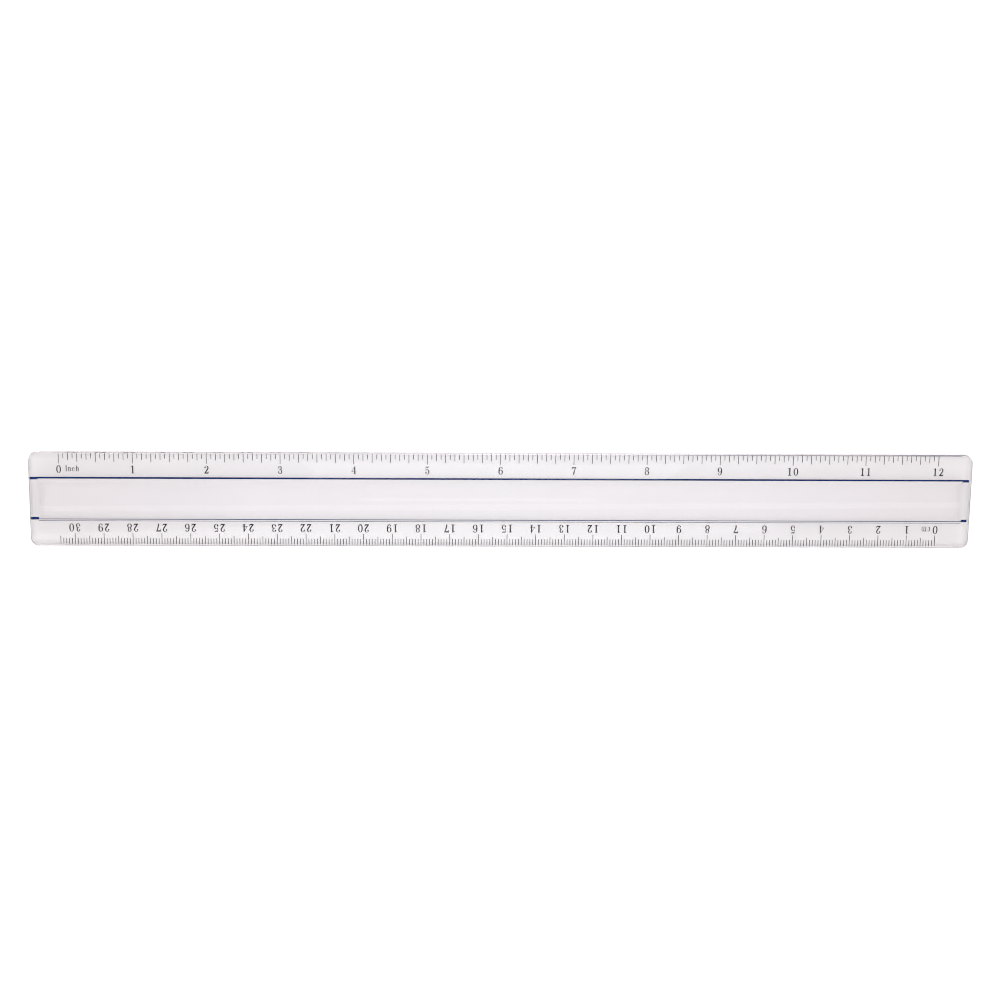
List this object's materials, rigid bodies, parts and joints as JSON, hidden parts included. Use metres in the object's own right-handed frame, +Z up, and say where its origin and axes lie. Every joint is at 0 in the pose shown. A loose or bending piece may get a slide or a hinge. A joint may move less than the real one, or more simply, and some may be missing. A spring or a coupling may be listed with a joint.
{
  "type": "magnifying ruler",
  "caption": "Clear acrylic ruler with a raised plano-convex lens bar along its middle, navy guide lines beside it, and inch and centimetre scales along its two edges.",
  "frame": {"origin": "the middle of the underside, on the surface that the ruler lies on", "axes": "+X along the ruler from the inch zero towards the inch twelve, +Y towards the inch edge, +Z up out of the lens bar"},
  "size_m": [0.3266, 0.0332, 0.0052],
  "materials": {
    "clear_plastic": "clear polished acrylic",
    "black_ink": "printed, matt",
    "navy_ink": "printed, matt"
  },
  "bodies": {
    "root": {"base_plate": "clear_plastic", "lens_bar": "clear_plastic", "inch_marks": "black_ink", "half_inch_marks": "black_ink", "quarter_inch_marks": "black_ink", "eighth_inch_marks": "black_ink", "sixteenth_inch_marks": "black_ink", "inch_numerals": "black_ink", "inch_label": "black_ink", "centimetre_marks": "black_ink", "half_centimetre_marks": "black_ink", "millimetre_marks": "black_ink", "centimetre_numerals": "black_ink", "centimetre_label": "black_ink", "inch_side_guide_line": "navy_ink", "centimetre_side_guide_line": "navy_ink"}
  },
  "joints": []
}
